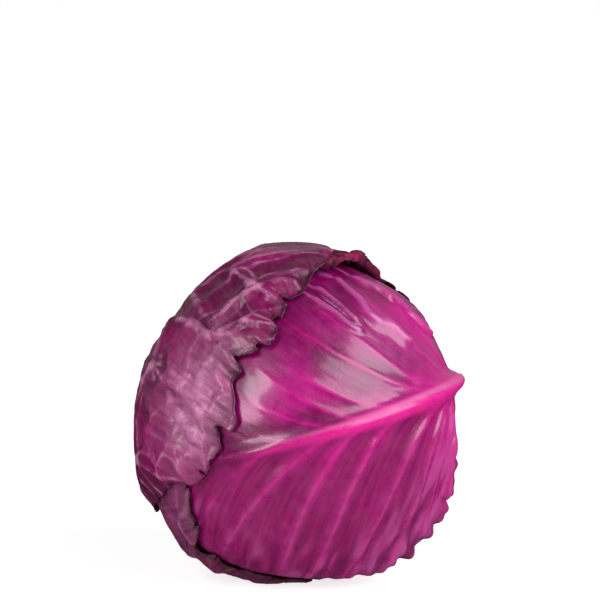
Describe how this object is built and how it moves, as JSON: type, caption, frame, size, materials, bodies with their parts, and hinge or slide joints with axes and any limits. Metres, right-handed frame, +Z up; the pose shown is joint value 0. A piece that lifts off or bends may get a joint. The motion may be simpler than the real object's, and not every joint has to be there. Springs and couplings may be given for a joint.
{
  "type": "red cabbage head",
  "caption": "Round red cabbage head lying on its side: a firm heart on a cut stem stump, wrapped in broad ribbed leaves with waved, ragged margins.",
  "frame": {"origin": "under the middle of the head, on the surface that it lies on", "axes": "+Z up, -Y towards the side that the broad front leaf covers, +X towards the stem stump, which points 22 degrees behind +X and 12 degrees up"},
  "size_m": [0.1562, 0.1587, 0.1582],
  "materials": {
    "heart": "smooth waxy inner leaves, with a pale cut stem face",
    "front_leaf": "bright magenta leaf with a waxy gloss and paler veins",
    "lower_leaf": "dull purple leaf with a greyish waxy bloom",
    "upper_leaf": "dull purple leaf with a greyish waxy bloom and a dark dried margin",
    "back_leaf": "dull purple leaf with a greyish waxy bloom"
  },
  "bodies": {
    "root": {"heart_with_stump": "heart", "front_leaf": "front_leaf", "lower_leaf": "lower_leaf", "upper_leaf": "upper_leaf", "back_leaf": "back_leaf"}
  },
  "joints": []
}
